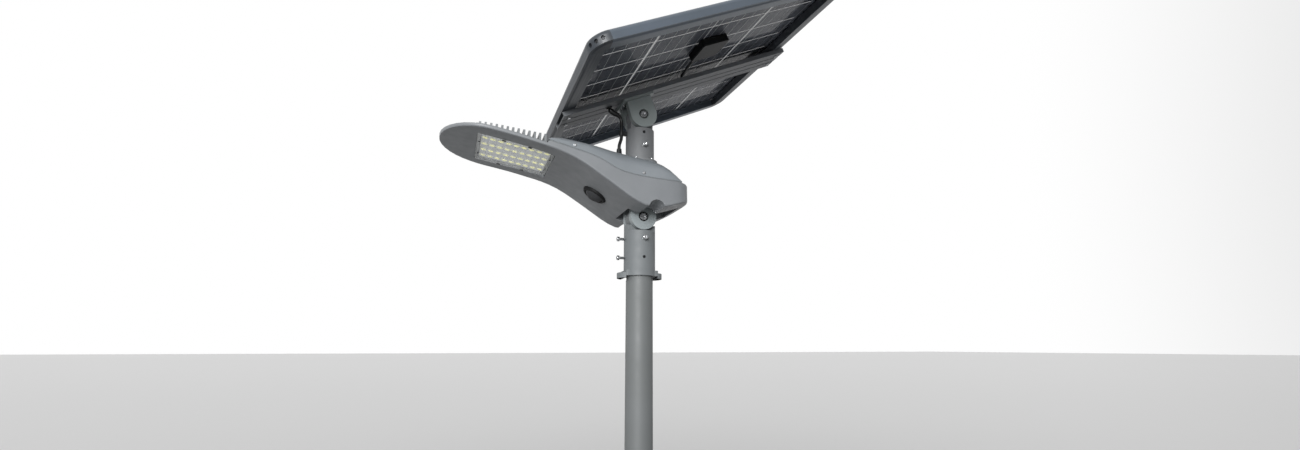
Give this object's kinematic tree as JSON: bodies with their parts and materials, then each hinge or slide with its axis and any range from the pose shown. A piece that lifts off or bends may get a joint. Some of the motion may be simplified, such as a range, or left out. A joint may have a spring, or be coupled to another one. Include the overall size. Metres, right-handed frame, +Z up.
{
  "type": "solar street lamp",
  "caption": "Pole-top solar street lamp: slim tilting LED head with motion sensor and battery bay, swivelling column and a tilting framed double-glass solar panel.",
  "frame": {"origin": "centre of the cut lower end of the pole top section", "axes": "+Z up along the pole, -X towards the nose of the lamp head, Y across the head, near side of the picture at -Y"},
  "size_m": [0.9255, 0.78, 1.1951],
  "materials": {
    "pole_paint": "satin grey paint on steel tube",
    "sleeve_paint": "light grey paint on cast aluminium",
    "head_paint": "dark grey paint on die-cast aluminium",
    "cover_paint": "blue-grey paint on die-cast aluminium",
    "sink_metal": "grey paint on cast fins",
    "column_paint": "grey paint on cast aluminium",
    "rail_metal": "matt anodised extrusion",
    "frame_metal": "dark blue-grey anodised extrusion",
    "screw_steel": "bright stainless steel",
    "lens_clear": "clear plate",
    "glass_clear": "clear tempered glass",
    "board_white": "white solder mask",
    "led_yellow": "yellow phosphor",
    "cell_dark": "dark silicon",
    "ribbon_tin": "tinned copper ribbon",
    "black_plastic": "black moulded plastic",
    "black_rubber": "black rubber",
    "battery_wrap": "blue shrink wrap",
    "board_green": "green circuit board with sealed modules"
  },
  "bodies": {
    "pole": {"pole_top": "pole_paint"},
    "sleeve": {"spigot_sleeve": "sleeve_paint", "cable_lugs": "sleeve_paint", "sleeve_set_screws": "screw_steel"},
    "head": {"tilt_yoke": "sleeve_paint", "yoke_screws": "screw_steel", "knuckle_bolt": "screw_steel", "knuckle_nut": "screw_steel", "knuckle_washers": "black_plastic", "lower_housing": "head_paint", "heat_sink": "sink_metal", "led_board": "board_white", "led_chips": "led_yellow", "lens_plate": "lens_clear", "lens_gasket": "black_rubber", "lens_clips": "black_plastic", "sensor_base": "black_plastic", "sensor_dome": "black_plastic", "top_cover": "cover_paint", "cover_seal": "black_rubber", "cover_screws": "screw_steel", "battery_pack": "battery_wrap", "charge_controller": "board_green", "column_spigot": "column_paint", "spigot_screws": "screw_steel", "cable_gland": "black_plastic", "lower_cable": "black_rubber"},
    "column": {"panel_column": "column_paint", "column_set_screws": "screw_steel", "cable_clip": "black_plastic", "upper_cable": "black_rubber"},
    "panel": {"panel_bracket": "column_paint", "bracket_bolt": "screw_steel", "bracket_nut": "screw_steel", "bracket_washers": "black_plastic", "bracket_screws": "screw_steel", "panel_rail": "rail_metal", "rail_screws": "screw_steel", "frame_low": "frame_metal", "frame_high": "frame_metal", "frame_near": "frame_metal", "frame_far": "frame_metal", "frame_corners": "frame_metal", "corner_screws": "screw_steel", "back_glass": "glass_clear", "solar_cells": "cell_dark", "cell_ribbons": "ribbon_tin", "front_glass": "glass_clear", "junction_box": "black_plastic", "junction_lid": "black_plastic", "junction_lead": "black_rubber", "rail_grommet": "black_rubber"}
  },
  "joints": [
    {"name": "sleeve_swivel", "type": "hinge", "parent": "pole", "child": "sleeve", "pos_m": [0, 0, 0.64], "axis": [0, 0, 1], "continuous": true},
    {"name": "head_tilt", "type": "hinge", "parent": "sleeve", "child": "head", "pos_m": [0, 0, 0.64], "axis": [0, 1, 0], "range_deg": [0, 75]},
    {"name": "column_swivel", "type": "hinge", "parent": "head", "child": "column", "pos_m": [0, 0, 0.84], "axis": [0, 0, 1], "range_deg": [-90, 90], "deforming": ["lower_cable"]},
    {"name": "panel_tilt", "type": "hinge", "parent": "column", "child": "panel", "pos_m": [0, 0, 0.916], "axis": [0, -1, 0], "range_deg": [-24, 15], "deforming": ["upper_cable"]}
  ]
}
